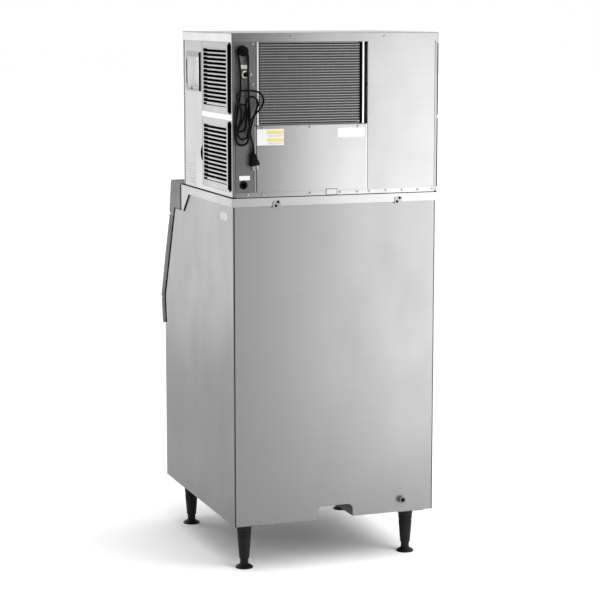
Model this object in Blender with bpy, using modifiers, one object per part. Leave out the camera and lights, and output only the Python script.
"""Modular cube ice machine on its storage bin, seen as a floor-standing catering appliance.

Metres, +Z up. The front faces -Y, the object's right-hand side (seen from its front) is +X, and the
origin is on the floor under the middle of the box that holds the appliance.
A depth below is a distance in front of the machine head's rear face.
"""

import math

import bmesh
import bpy
from mathutils import Matrix, Vector

# Driving sizes of the whole appliance
width = 0.762
overall_depth = 0.907
leg_clearance = 0.176
bin_height = 1.1514
head_height = 0.5606
head_front_inset = 0.323
body_front_inset = 0.048
fitting_reach = 0.014

# Stock and fits
clearance = 0.0003
sheet = 0.0012
bend_radius = 0.003
cut_overrun = 0.004
seam = 0.0014

# Machine head
cover_flange = 0.031
cover_lap = 0.0015
base_flange = 0.0195
side_foot_gap = 0.0052
base_inset = 0.0125
side_return = 0.0105
service_width = 0.0768
bulkhead_offset = 0.112
condenser_sill = 0.2476
vent_front_inset = 0.230
vent_rear = 0.050
vent_height = 0.2445
vent_gap = 0.020
vent_depth = 0.014
vent_pitch = 0.01448
vent_band = 0.022
vent_web = 0.0032
blade_thickness = 0.0014
blade_drop = 0.0088
slot_width = 0.034
slot_front = 0.0445
cup_front_inset = 0.042
cup_rear_inset = 0.218
cup_low = 0.3496
cup_height = 0.140
cup_depth = 0.028
cup_wall = 0.002
cup_rim = 0.008
cup_lip = 0.0083
lip_height = 0.045
lip_reach = 0.004
chute_side_margin = 0.024
chute_inner_margin = 0.018
vent_border = 0.015
front_fold = 0.018

# Condenser, fan and refrigeration
core_tube_pitch = 0.009
core_tube = 0.0024
core_thickness = 0.022
core_fin_recess = 0.003
core_setback = 0.004
core_left_margin = 0.0137
core_right_margin = 0.0185
ring_left_gap = 0.0015
ring_right_gap = 0.0115
shroud_left_gap = 0.009
frame_lip = 0.007
shroud_depth = 0.045
fan_radius = 0.122
fan_tip_gap = 0.006
fan_hub_radius = 0.026
fan_hub_length = 0.022
fan_blades_count = 5
fan_blade_thickness = 0.0018
fan_pitch_rise = 0.026
motor_radius = 0.042
motor_length = 0.060
shaft_radius = 0.004
compressor_radius = 0.078
compressor_height = 0.205
compressor_foot_size = 0.19
compressor_x = 0.205
compressor_front_inset = 0.235
terminal_reach = 0.014
terminal_half_width = 0.026
terminal_height = 0.05
grommet_radius = 0.011
grommet_height = 0.012
drier_radius = 0.022
drier_length = 0.15
drier_x = 0.045
drier_depth = 0.20
pipe_radius = 0.0048
discharge_rise = 0.16
discharge_start_shares = ((0, 0, 0.3125), (0.075, 0.025, 0.75), (0.3125, 0.1875, 1))
discharge_run_shares = ((0.625, 1.0375), (1.25, 1.05))
liquid_stub = 0.05
liquid_lean = (0.03, 0.012, 0.11)
liquid_run = (0.09, 0.02, 0.13)

# Ice making
plate_outer_gap = 0.0255
plate_height = 0.322
plate_back = 0.003
cell_depth = 0.019
cell_rib = 0.0022
plate_side_gap = 0.016
plate_rise = 0.140
arm_overreach = 0.010
arm_height = 0.016
ear_low_rise = 0.02
ear_high_drop = 0.04
cells_across = 8
cells_down = 12
plate_depth = 0.250
curtain_thickness = 0.003
curtain_gap = 0.026
curtain_pin_radius = 0.003
curtain_overhang = 0.012
distributor_radius = 0.009
trough_outer_gap = 0.0212
trough_depth = 0.090
trough_height = 0.060
trough_wall = 0.003
trough_front_lap = 0.006
trough_drop = 0.006
pump_radius = 0.022
pump_height = 0.120
pump_cap = 0.004
pump_motor_low = 0.072
pump_neck_high = 0.068
pump_neck_low = 0.024
pump_base = 0.020
pump_side_inset = 0.034
pump_rear_inset = 0.027
control_size = (0.20, 0.075, 0.22)
control_front_inset = 0.055
control_rise = 0.20
switch_inset = 0.081
switch_drop = 0.085
switch_half_width = 0.0095
switch_body_depth = 0.010
rocker_radius = 0.0130
rocker_bezel = 0.004
rocker_setback = 0.0035
chute_front_inset = 0.170
chute_rear = 0.110

# Storage bin
rim_height = 0.0289
rim_overhang = 0.0015
rim_ledge = 0.052
rim_front_gap = 0.004
bin_inset = 0.004
panel_return = 0.014
notch_width = 0.134
notch_height = 0.046
notch_radius = 0.020
tunnel_depth = 0.16
base_height = 0.052
foam_wall = 0.046
foam_floor = 0.050
liner_wall = 0.003
rim_cheek_inset = 0.386
rim_cheek_drop = 0.069
rim_cheek_run = 0.074

# Door opening, its moulded frame and the door
hood_gap = 0.038
hood_drop = 0.0974
hood_rise = 0.0071
hood_lip_gap = 0.013
hood_lip = 0.004
hood_top_inset = 0.1415
hood_low_inset = 0.123
hood_radius = 0.018
hood_edge = 0.006
hood_face_rise = 0.0065
bezel_step = 0.0055
door_side_gap = 0.0005
ear_gap = 0.0022
rail_inset = 0.1975
knee_inset = 0.0577
knee_rise = 0.106
sill_inset = 0.069
sill_drop = 0.5524
gasket_width = 0.0105
gasket_inset = 0.0045
frame_side_inset = 0.002
frame_slope_run = 0.12
frame_top_drop = 0.1224
frame_low_inset = 0.017
frame_low_drop = 0.0105
bezel_top_inset = 0.0065
bezel_low_inset = 0.0182
bezel_low_drop = 0.003
mouth_side_inset = 0.076
mouth_margin_low = 0.030
mouth_margin_top = 0.088
door_axis_drop = 0.013
door_barrel_radius = 0.0052
door_ear = 0.0058
hinge_pin_radius = 0.0024
hinge_pin_length = 0.026
plug_depth = 0.026
plug_gap = 0.006

# Feet
leg_inset = 0.070
leg_rear_depth = 0.098
leg_front_inset = 0.153
pad_size = 0.100
pad_height = 0.0148
leg_top_radius = 0.028
leg_low_radius = 0.0179
leg_low_height = 0.0351
leg_groove = 0.0012
leg_groove_width = 0.003
foot_neck_radius = 0.0150
foot_bore_gap = 0.0004
foot_flange_radius = 0.0318
foot_flange = 0.0045
foot_cone_height = 0.0150
foot_stem_height = 0.092

# Rear fittings
gland_drop = 0.063
gland_inset = 0.0377
gland_neck_radius = 0.0135
gland_neck = 0.0125
gland_cap_radius = 0.0165
gland_cap = 0.010
gland_length = 0.020
inlet_drop = 0.140
inlet_inset = 0.0465
inlet_radius = 0.0130
inlet_bore = 0.0085
inlet_length = 0.026
drain_rise = 0.0456
drain_inset = 0.041
drain_radius_across = 0.015
drain_radius_up = 0.0116
drain_lip = 0.0025
drain_length = 0.018
bin_drain_inset = 0.1274
bin_drain_rise = 0.046
bin_drain_radius = 0.0125
bin_drain_bore = 0.008
screw_radius = 0.0042
screw_head = 0.0022
sill_screw_drop = 0.009
cover_screw_drop = 0.0132
service_screw_inset = 0.020
service_screw_edge = 0.013
service_screw_rise = 0.0005
service_screw_drop = 0.033
gland_screw_inset = 0.0123
gland_screw_rise = 0.0262
gland_screw_side = 0.012
gland_screw_lift = 0.0158
clip_width = 0.028
clip_height = 0.023
clip_thickness = 0.0016
clip_drop = 0.0124
clip_slot_shift = (-0.002, -0.005)
clip_slot_half = (0.0055, 0.002)
clip_slot_share = 0.3
clip_hole_shift = 0.0025
clip_hole_radius = 0.0028
cord_diameter = 0.007
loop_gap = 0.0006
loop_rear_gap = 0.0078
hank_left = 0.2715
hank_right = 0.3806
hank_low = 1.5066
hank_high = 1.6984
hank_back = 0.0036
hank_front = 0.0400
hank_waist = (0.3010, 1.6250)
hank_radius = 0.020
plug_place = (0.3085, 1.4775)
plug_rear_gap = 0.0108

# Levels and half sizes that follow from the driving sizes
half = width / 2
rear_y = overall_depth / 2 - fitting_reach
rim_top = leg_clearance + bin_height
head_top = rim_top + head_height
cover_low = head_top - cover_flange
panel_low = rim_top + base_flange
side_low = rim_top + side_foot_gap
side_outer = half - cover_lap
bin_half = half - bin_inset
rim_low = rim_top - rim_height
service_x = half - side_return - service_width
bulkhead_x = -bulkhead_offset
sill_z = rim_top + condenser_sill
front_depth = overall_depth - fitting_reach
body_front_depth = front_depth - body_front_inset
head_depth = front_depth - head_front_inset
hood_rear = head_depth + hood_gap
hood_lip_rear = head_depth + hood_lip_gap
hood_front_top = front_depth - hood_top_inset
hood_front_low = front_depth - hood_low_inset
rail_top = front_depth - rail_inset
knee_depth = front_depth - knee_inset
sill_depth = front_depth - sill_inset
frame_low_depth = front_depth - frame_low_inset
bezel_top_depth = front_depth - bezel_top_inset
bezel_low_depth = front_depth - bezel_low_inset
rim_cheek_rear = front_depth - rim_cheek_inset
leg_front_depth = front_depth - leg_front_inset
frame_top_depth = frame_low_depth - frame_slope_run
frame_half_width = half - frame_side_inset
sill_height = rim_top - sill_drop
knee_height = sill_height + knee_rise
frame_low_height = knee_height - frame_low_drop
frame_top_height = rim_top - frame_top_drop
bezel_low_height = sill_height - bezel_low_drop
door_axis_height = frame_top_height - door_axis_drop
mouth_half_width = half - mouth_side_inset
vent_front = head_depth - vent_front_inset
cup_front = head_depth - cup_front_inset
cup_rear = head_depth - cup_rear_inset
compressor_depth = head_depth - compressor_front_inset
plate_width = side_outer - bulkhead_offset - plate_side_gap - plate_outer_gap
trough_width = side_outer - bulkhead_offset - clearance - trough_outer_gap
chute_front = head_depth - chute_front_inset
control_depth = head_depth - control_front_inset
switch_x = half - switch_inset


def y_at(depth):
    """World y of a depth in front of the machine head's rear face."""
    return rear_y - depth


for old in list(bpy.data.objects):
    bpy.data.objects.remove(old)

parts = bpy.data.collections.new("ice_machine")
cutters = bpy.data.collections.new("cutters")
bpy.context.scene.collection.children.link(parts)
bpy.context.scene.collection.children.link(cutters)
cutters.hide_render = True


def material(name, colour, roughness, metallic=0.0):
    made = bpy.data.materials.new(name)
    made.use_nodes = True
    shader = made.node_tree.nodes["Principled BSDF"]
    shader.inputs["Base Color"].default_value = (*colour, 1.0)
    shader.inputs["Roughness"].default_value = roughness
    shader.inputs["Metallic"].default_value = metallic
    made.diffuse_color = (*colour, 1.0)
    return made


stainless = material("stainless", (0.62, 0.62, 0.63), 0.32, 1.0)
galvanised = material("galvanised", (0.48, 0.49, 0.50), 0.45, 1.0)
aluminium = material("aluminium", (0.70, 0.70, 0.71), 0.40, 1.0)
copper = material("copper", (0.72, 0.38, 0.22), 0.30, 1.0)
brass = material("brass", (0.62, 0.58, 0.38), 0.35, 1.0)
black_plastic = material("black_plastic", (0.02, 0.02, 0.02), 0.45)
black_rubber = material("black_rubber", (0.015, 0.015, 0.015), 0.65)
black_paint = material("black_paint", (0.03, 0.03, 0.03), 0.40)
grey_plastic = material("grey_plastic", (0.24, 0.24, 0.25), 0.45)
light_plastic = material("light_plastic", (0.62, 0.62, 0.62), 0.50)
white_plastic = material("white_plastic", (0.80, 0.80, 0.79), 0.45)
foam = material("foam", (0.72, 0.66, 0.45), 0.90)


def add(name, mesh, finish, collection=parts):
    """Puts a mesh in the scene as a named object, in world coordinates."""
    made = bpy.data.objects.new(name, mesh)
    collection.objects.link(made)
    if finish:
        mesh.materials.append(finish)
    else:
        made.hide_render = True
        made.display_type = "WIRE"
    return made


def set_origin(made, point):
    """Moves an object's origin to a point and leaves its shape where it is."""
    point = Vector(point)
    made.data.transform(Matrix.Translation(-point))
    made.location = made.location + point


def mesh_from(name, bm):
    mesh = bpy.data.meshes.new(name)
    bm.to_mesh(mesh)
    bm.free()
    return mesh


def box_mesh(name, low, high):
    bm = bmesh.new()
    bmesh.ops.create_cube(bm, size=1)
    size = Vector(high) - Vector(low)
    middle = (Vector(high) + Vector(low)) / 2
    bmesh.ops.scale(bm, vec=size, verts=bm.verts)
    bmesh.ops.translate(bm, vec=middle, verts=bm.verts)
    return mesh_from(name, bm)


def box(name, low, high, finish):
    return add(name, box_mesh(name, low, high), finish)


def apply_modifiers(made):
    """Replaces an object's mesh by what its modifiers make of it."""
    graph = bpy.context.evaluated_depsgraph_get()
    graph.update()
    result = bpy.data.meshes.new_from_object(made.evaluated_get(graph))
    made.modifiers.clear()
    made.data = result


def boolean(target, tool, operation="DIFFERENCE"):
    step = target.modifiers.new(tool.name, "BOOLEAN")
    step.operation = operation
    step.object = tool
    step.solver = "EXACT"
    return step


def cut(target, tool):
    boolean(target, tool)
    return target


def cut_box(target, name, low, high):
    return cut(target, add(name, box_mesh(name, low, high), None, cutters))


def join(target, tool):
    """Unites a helper solid with the target."""
    tool.hide_render = True
    tool.display_type = "WIRE"
    for held in list(tool.users_collection):
        held.objects.unlink(tool)
    cutters.objects.link(tool)
    boolean(target, tool, "UNION")
    return target


def rounded(points, radius, steps=4, corners=None):
    """A closed outline whose named corners (all of them, if none are named) are arcs."""
    made = []
    count = len(points)
    for index, point in enumerate(points):
        if corners is not None and index not in corners:
            made.append(tuple(point))
            continue
        here = Vector(point)
        before = (Vector(points[index - 1]) - here).normalized()
        after = (Vector(points[(index + 1) % count]) - here).normalized()
        angle = before.angle(after)
        reach = radius / math.tan(angle / 2)
        centre = here + (before + after).normalized() * (radius / math.sin(angle / 2))
        start = here + before * reach - centre
        end = here + after * reach - centre
        sweep = start.angle_signed(end)
        for step in range(steps + 1):
            turned_by = Matrix.Rotation(-sweep * step / steps, 2)
            made.append(tuple(centre + turned_by @ start))
    return made


def offset_line(points, distance):
    """An open line moved sideways (to its left, seen along it) with mitred corners."""
    normals = []
    for first, second in zip(points, points[1:]):
        along = (Vector(second) - Vector(first)).normalized()
        normals.append(Vector((-along.y, along.x)))
    made = []
    for index, point in enumerate(points):
        before = normals[max(index - 1, 0)]
        after = normals[min(index, len(normals) - 1)]
        mitre = before + after
        made.append(tuple(Vector(point) + mitre * (distance / (1 + before.dot(after)))))
    return made


frames = {
    "x": Matrix(((0, 0, 1), (1, 0, 0), (0, 1, 0))).to_4x4(),
    "y": Matrix(((1, 0, 0), (0, 0, -1), (0, 1, 0))).to_4x4(),
    "z": Matrix.Identity(4),
}


def outline_mesh(name, points, axis, start, end):
    """A flat outline filled and extruded along an axis: (y, z) along x, (x, z) along y, (x, y) along z."""
    curve = bpy.data.curves.new(name, "CURVE")
    curve.dimensions = "2D"
    curve.fill_mode = "BOTH"
    curve.extrude = abs(end - start) / 2
    spline = curve.splines.new("POLY")
    spline.points.add(len(points) - 1)
    for point, place in zip(spline.points, points):
        point.co = (place[0], place[1], 0, 1)
    spline.use_cyclic_u = True
    helper = bpy.data.objects.new(name, curve)
    cutters.objects.link(helper)
    graph = bpy.context.evaluated_depsgraph_get()
    graph.update()
    mesh = bpy.data.meshes.new_from_object(helper.evaluated_get(graph))
    bpy.data.objects.remove(helper)
    bm = bmesh.new()
    bm.from_mesh(mesh)
    bmesh.ops.remove_doubles(bm, verts=bm.verts, dist=0.00001)
    bmesh.ops.transform(bm, matrix=frames[axis], verts=bm.verts)
    shift = {"x": (1, 0, 0), "y": (0, 1, 0), "z": (0, 0, 1)}[axis]
    bmesh.ops.translate(bm, vec=Vector(shift) * ((start + end) / 2), verts=bm.verts)
    bmesh.ops.recalc_face_normals(bm, faces=bm.faces)
    bm.to_mesh(mesh)
    bm.free()
    return mesh


def plate(name, points, axis, start, end, finish):
    return add(name, outline_mesh(name, points, axis, start, end), finish)


def cut_outline(target, name, points, axis, start, end):
    return cut(target, add(name, outline_mesh(name, points, axis, start, end), None, cutters))


def circle(centre, radius, sides=20, stretch=1.0):
    """Points of a circle, or of an ellipse whose second radius is stretched."""
    return [
        (
            centre[0] + radius * math.cos(math.tau * side / sides),
            centre[1] + radius * stretch * math.sin(math.tau * side / sides),
        )
        for side in range(sides)
    ]


def strip(line, thickness):
    """The closed outline of a sheet folded along a line, with its thickness to the line's left."""
    return list(line) + offset_line(line, thickness)[::-1]


def bent(points, radius, steps=3):
    """An open line whose inner corners are arcs."""
    return rounded(points, radius, steps, range(1, len(points) - 1))


def thicken(made, thickness, side=-1.0):
    step = made.modifiers.new("sheet", "SOLIDIFY")
    step.thickness = thickness
    step.offset = side
    step.use_even_offset = True


def tray(name, low, high, open_sides, wall, finish, fold_radius=0.0):
    """A box of sheet with some sides left open and its wall inside the given box."""
    bm = bmesh.new()
    bm.from_mesh(box_mesh(name, low, high))
    directions = {
        "+x": (1, 0, 0),
        "-x": (-1, 0, 0),
        "+y": (0, 1, 0),
        "-y": (0, -1, 0),
        "+z": (0, 0, 1),
        "-z": (0, 0, -1),
    }
    bm.normal_update()
    gone = [
        face
        for face in bm.faces
        if any(face.normal.dot(Vector(directions[side])) > 0.9 for side in open_sides)
    ]
    bmesh.ops.delete(bm, geom=gone, context="FACES_ONLY")
    made = add(name, mesh_from(name, bm), finish)
    if fold_radius:
        fold = made.modifiers.new("fold", "BEVEL")
        fold.width = fold_radius
        fold.segments = 2
        fold.limit_method = "ANGLE"
    thicken(made, wall)
    return made


def soften(made, amount, segments=2):
    edge = made.modifiers.new("edge", "BEVEL")
    edge.width = amount
    edge.segments = segments
    edge.limit_method = "ANGLE"
    edge.angle_limit = math.radians(40)
    return made


def turned(name, profile, place, direction, finish, steps=24, collection=parts):
    """A turned piece: (radius, height) from its top, down its outside, to its bottom."""
    bm = bmesh.new()
    verts = [bm.verts.new((radius, 0, height)) for radius, height in profile]
    for pair in zip(verts, verts[1:]):
        bm.edges.new(pair)
    made = add(name, mesh_from(name, bm), finish, collection)
    made.location = place
    made.rotation_euler = Vector(direction).to_track_quat("Z", "Y").to_euler()
    lathe = made.modifiers.new("lathe", "SCREW")
    lathe.steps = steps
    lathe.render_steps = steps
    lathe.use_merge_vertices = True
    lathe.merge_threshold = 0.00005
    return made


def closed_ring(name, profile, place, direction, finish, steps=24, collection=parts):
    """A turned ring: its profile closes on itself, and runs down its outer side."""
    bm = bmesh.new()
    verts = [bm.verts.new((radius, 0, height)) for radius, height in profile]
    for pair in zip(verts, verts[1:] + verts[:1]):
        bm.edges.new(pair)
    made = add(name, mesh_from(name, bm), finish, collection)
    made.location = place
    made.rotation_euler = Vector(direction).to_track_quat("Z", "Y").to_euler()
    lathe = made.modifiers.new("lathe", "SCREW")
    lathe.steps = steps
    lathe.render_steps = steps
    lathe.use_merge_vertices = True
    lathe.merge_threshold = 0.00005
    return made


def rod_profile(radius, length):
    return [(0, length), (radius, length), (radius, 0), (0, 0)]


def merged(name, pieces, finish):
    """Puts several separate solids in one object, in world coordinates."""
    bm = bmesh.new()
    bpy.context.view_layer.update()
    graph = bpy.context.evaluated_depsgraph_get()
    for piece in pieces:
        mesh = bpy.data.meshes.new_from_object(piece.evaluated_get(graph))
        mesh.transform(piece.matrix_world)
        bm.from_mesh(mesh)
    for piece in pieces:
        bpy.data.objects.remove(piece)
    return add(name, mesh_from(name, bm), finish)


def tube(name, points, radius, finish, resolution=2):
    curve = bpy.data.curves.new(name, "CURVE")
    curve.dimensions = "3D"
    curve.bevel_depth = radius
    curve.bevel_resolution = resolution
    curve.use_fill_caps = True
    spline = curve.splines.new("POLY")
    spline.points.add(len(points) - 1)
    for point, place in zip(spline.points, points):
        point.co = (*place, 1)
    made = bpy.data.objects.new(name, curve)
    curve.materials.append(finish)
    parts.objects.link(made)
    return made


def smooth_route(points, spacing):
    """Points every so often along one smooth curve through the given ones."""
    places = [Vector(point) for point in points]
    ends = [2 * places[0] - places[1]] + places + [2 * places[-1] - places[-2]]
    fine = []
    for index in range(1, len(ends) - 2):
        before, here, after, beyond = ends[index - 1 : index + 3]
        for step in range(16):
            t = step / 16
            fine.append(
                0.5
                * (
                    2 * here
                    + (after - before) * t
                    + (2 * before - 5 * here + 4 * after - beyond) * t**2
                    + (3 * here - before - 3 * after + beyond) * t**3
                )
            )
    fine.append(places[-1])
    lengths = [(b - a).length for a, b in zip(fine, fine[1:])]
    total = sum(lengths)
    count = max(2, round(total / spacing))
    made, walked, segment = [fine[0]], 0.0, 0
    for step in range(1, count):
        target = total * step / count
        while walked + lengths[segment] < target:
            walked += lengths[segment]
            segment += 1
        share = (target - walked) / lengths[segment]
        made.append(fine[segment].lerp(fine[segment + 1], share))
    made.append(fine[-1])
    return made


# Machine head: base pan, cover and walls

base_half = half - base_inset
front_y = y_at(head_depth)
pan_front = head_depth - front_fold - sheet - seam

head_base_pan = tray(
    "head_base_pan",
    (-base_half, y_at(pan_front), rim_top + clearance),
    (base_half, rear_y, panel_low - clearance),
    ["+z"],
    sheet,
    galvanised,
)
chute_left = side_outer - chute_side_margin
chute_right = bulkhead_offset + chute_inner_margin
chute = ((-chute_left, y_at(chute_front)), (-chute_right, y_at(chute_rear)))
cut_box(
    head_base_pan,
    "chute_hole",
    (*chute[0], rim_top - cut_overrun),
    (*chute[1], rim_top + cut_overrun),
)

head_top_cover = tray(
    "head_top_cover",
    (-half, front_y - lip_reach, cover_low),
    (half, rear_y + cover_lap, head_top),
    ["-z"],
    sheet,
    stainless,
    bend_radius,
)
wall_top = head_top - sheet - bend_radius

vent_low_z = panel_low + clearance
vents = [vent_low_z, vent_low_z + vent_height + vent_gap]
slot_inset = 0.0015
cup_low_z = rim_top + cup_low


def side_wall(name, hand):
    """A head side: one folded sheet with a handle opening; +1 is the right-hand side."""
    line = bent(
        [
            (side_outer - side_return, y_at(head_depth - front_fold)),
            (side_outer, y_at(head_depth - front_fold)),
            (side_outer, rear_y),
            (side_outer - side_return, rear_y),
        ],
        bend_radius,
    )
    points = [(hand * x, y) for x, y in strip(line, sheet)]
    wall = plate(name, points, "z", side_low, wall_top, stainless)
    opening = [
        (y_at(cup_front) + cup_rim, cup_low_z + cup_rim),
        (y_at(cup_rear) - cup_rim, cup_low_z + cup_rim),
        (y_at(cup_rear) - cup_rim, cup_low_z + cup_height - cup_rim),
        (y_at(cup_front) + cup_rim, cup_low_z + cup_height - cup_rim),
    ]
    ends = sorted((hand * (side_outer - cup_depth), hand * (side_outer + cut_overrun)))
    cut_outline(wall, name + "_cup_hole", rounded(opening, bend_radius * 2), "x", *ends)
    return wall


head_side_panel_right = side_wall("head_side_panel_right", 1)
head_side_panel_left = side_wall("head_side_panel_left", -1)

notch_across = 0.0115
notch_up = 0.0205
for level, low_z in zip(("lower", "upper"), vents):
    x_range = (side_outer - cut_overrun, side_outer + cut_overrun)
    cut_box(
        head_side_panel_right,
        level + "_vent_hole",
        (x_range[0], y_at(vent_front), low_z),
        (x_range[1], y_at(vent_rear), low_z + vent_height),
    )
    slot = [
        (y_at(slot_front), low_z + slot_inset),
        (y_at(slot_front - slot_width), low_z + slot_inset),
        (y_at(slot_front - slot_width), low_z + vent_height - slot_inset),
        (y_at(slot_front), low_z + vent_height - slot_inset),
    ]
    cut_outline(
        head_side_panel_right, level + "_slot", rounded(slot, slot_width / 3), "x", *x_range
    )
finger_notch = circle(
    (y_at(vent_front), vents[0] + vent_height / 2), notch_across, 16, notch_up / notch_across
)
cut_outline(head_side_panel_right, "finger_notch", finger_notch, "x", *x_range)


def vent_grille(name, low_z):
    """A louvred panel: a flat border with blades that slope inwards and down."""
    face = side_outer - sheet / 2
    low = (face - vent_depth, y_at(vent_front) + clearance, low_z + clearance)
    high = (face, y_at(vent_rear) - clearance, low_z + vent_height - clearance)
    grille = box(name, low, high, light_plastic)
    top_z = high[2] - vent_band
    count = math.floor((top_z - low[2] - vent_gap) / vent_pitch)
    open_low = top_z - count * vent_pitch
    cut_box(
        grille,
        name + "_opening",
        (low[0] - cut_overrun, low[1] + vent_border, open_low),
        (high[0] + cut_overrun, high[1] - vent_border, top_z),
    )
    blades = []
    for index in range(count):
        top = top_z - index * vent_pitch - (0 if index else clearance)
        blade = [
            (face - clearance, top),
            (face - clearance, top - vent_web),
            (low[0] + clearance, top - vent_web - blade_drop),
            (low[0] + clearance, top - vent_web - blade_drop + blade_thickness),
            (face - clearance - blade_thickness, top - vent_web + blade_thickness),
            (face - clearance - blade_thickness, top),
        ]
        blades.append(
            plate(
                f"{name}_blade_{index}",
                blade,
                "y",
                low[1] + vent_border - blade_thickness,
                high[1] - vent_border + blade_thickness,
                light_plastic,
            )
        )
    join(grille, merged(name + "_blades", blades, light_plastic))
    return grille


vent_grille("lower_vent_grille", vents[0])
vent_grille("upper_vent_grille", vents[1])


def handle_cup(name, hand):
    """A moulded lifting recess with a flat rim outside the panel and a downward lip inside it."""
    low_y = y_at(cup_front)
    high_y = y_at(cup_rear)
    top_z = cup_low_z + cup_height
    gap = cup_rim + clearance
    outer_face = side_outer + clearance + sheet

    def span(inner, outer):
        return sorted((hand * inner, hand * outer))

    def pocket_outline(inset):
        corners = [
            (low_y + inset, cup_low_z + inset),
            (high_y - inset, cup_low_z + inset),
            (high_y - inset, top_z - inset),
            (low_y + inset, top_z - inset),
        ]
        return rounded(corners, 2 * bend_radius)

    pocket_x = span(side_outer - cup_depth, outer_face - clearance)
    cup = plate(name, pocket_outline(gap), "x", *pocket_x, light_plastic)
    rim_x = span(side_outer + clearance, outer_face)
    join(cup, plate(name + "_rim", pocket_outline(0), "x", *rim_x, light_plastic))
    hollow_x = span(side_outer - cup_depth + cup_wall, outer_face - cup_wall)
    cut_outline(cup, name + "_hollow", pocket_outline(gap + cup_wall), "x", *hollow_x)
    mouth_x = span(side_outer - cup_depth / 2, outer_face + cut_overrun)
    lip_z = top_z - gap - cup_wall - cup_lip
    cut_box(
        cup,
        name + "_mouth",
        (mouth_x[0], low_y + gap + cup_wall, cup_low_z + gap + cup_wall),
        (mouth_x[1], high_y - gap - cup_wall, lip_z),
    )
    return cup


handle_cup("handle_cup_right", 1)
handle_cup("handle_cup_left", -1)

front_line = bent(
    [
        (-side_outer, y_at(head_depth - front_fold) - seam),
        (-side_outer, front_y),
        (side_outer, front_y),
        (side_outer, y_at(head_depth - front_fold) - seam),
    ],
    bend_radius,
)
head_front_panel = plate(
    "head_front_panel", strip(front_line, sheet), "z", side_low, wall_top, stainless
)
lip = box(
    "front_grip_lip",
    (-side_outer + bend_radius, front_y - lip_reach, side_low + clearance),
    (side_outer - bend_radius, front_y + sheet / 2, side_low + lip_height),
    stainless,
)
soften(lip, lip_reach / 3)
apply_modifiers(lip)
join(head_front_panel, lip)

# Rear panels of the head

service_right = half - side_return - cover_lap - seam
gland_place = (half - gland_inset, rear_y, head_top - gland_drop)
inlet_place = (half - inlet_inset, rear_y, head_top - inlet_drop)
drain_place = (half - drain_inset, rear_y, rim_top + drain_rise)
lower_lap = 0.0072
service_outline = [
    (service_right, panel_low),
    (service_right, wall_top),
    (service_x, wall_top),
    (service_x, sill_z + seam),
    (service_x + lower_lap + seam, sill_z + seam),
    (service_x + lower_lap + seam, panel_low),
]
through = (rear_y - sheet - cut_overrun, rear_y + cut_overrun)
rear_service_panel = plate(
    "rear_service_panel", service_outline, "y", rear_y - sheet, rear_y, galvanised
)
for label, place, radius in (
    ("gland_hole", gland_place, gland_neck_radius + clearance),
    ("inlet_hole", inlet_place, inlet_radius + clearance - sheet),
    ("drain_hole", drain_place, drain_radius_up + clearance),
):
    cut_outline(
        rear_service_panel, label, circle((place[0], place[2]), radius), "y", *through
    )

flange_in = 0.012
lower_line = bent(
    [(rear_y, panel_low), (rear_y, sill_z), (rear_y - flange_in, sill_z)], bend_radius
)
rear_lower_panel = plate(
    "rear_lower_panel",
    strip(lower_line, sheet),
    "x",
    bulkhead_x + seam / 2,
    service_x + lower_lap,
    stainless,
)
evaporator_line = bent(
    [
        (bulkhead_x - seam / 2, rear_y - flange_in),
        (bulkhead_x - seam / 2, rear_y),
        (-service_right, rear_y),
    ],
    bend_radius,
)
rear_evaporator_panel = plate(
    "rear_evaporator_panel", strip(evaporator_line, sheet), "z", panel_low, wall_top, stainless
)

bulkhead_flange = 0.010
bulkhead_line = [
    (bulkhead_x + bulkhead_flange, rear_y - flange_in - seam),
    (bulkhead_x, rear_y - flange_in - seam),
    (bulkhead_x, y_at(pan_front) + sheet + seam),
    (bulkhead_x + flange_in, y_at(pan_front) + sheet + seam),
]
pan_floor = rim_top + clearance + sheet
bulkhead = plate(
    "bulkhead",
    strip(bulkhead_line, sheet),
    "z",
    pan_floor + clearance,
    wall_top,
    galvanised,
)

# Condenser, shroud and fan

ring_left = service_x - ring_left_gap
ring_right = bulkhead_x + ring_right_gap
core_left = service_x - core_left_margin
core_right = ring_right + core_right_margin
ring_wall = 0.0018
ring_face = 0.0015
ring_depth = 0.033
condenser_frame = box(
    "condenser_frame",
    (ring_right, y_at(ring_depth), sill_z + clearance),
    (ring_left, y_at(ring_face), cover_low - clearance),
    aluminium,
)
cut_box(
    condenser_frame,
    "frame_opening",
    (ring_right + frame_lip, y_at(ring_depth) - cut_overrun, sill_z + clearance + ring_wall),
    (ring_left - frame_lip, rear_y + cut_overrun, cover_low - clearance - ring_wall),
)

core_low = sill_z + 2 * clearance + ring_wall
core_high = cover_low - 2 * clearance - ring_wall
tube_rows = math.floor((core_high - core_low) / core_tube_pitch)
comb = [(y_at(core_setback + core_thickness), core_low)]
fin_y = y_at(core_setback + core_fin_recess)
tube_y = y_at(core_setback)
first_tube = (core_low + core_high - (tube_rows - 1) * core_tube_pitch) / 2
comb.append((fin_y, core_low))
for row in range(tube_rows):
    middle = first_tube + row * core_tube_pitch
    comb.extend(
        [
            (fin_y, middle - core_tube / 2),
            (tube_y, middle - core_tube / 2),
            (tube_y, middle + core_tube / 2),
            (fin_y, middle + core_tube / 2),
        ]
    )
comb.append((fin_y, core_high))
comb.append((y_at(core_setback + core_thickness), core_high))
condenser_core = plate("condenser_core", comb, "x", core_right, core_left, aluminium)

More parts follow.
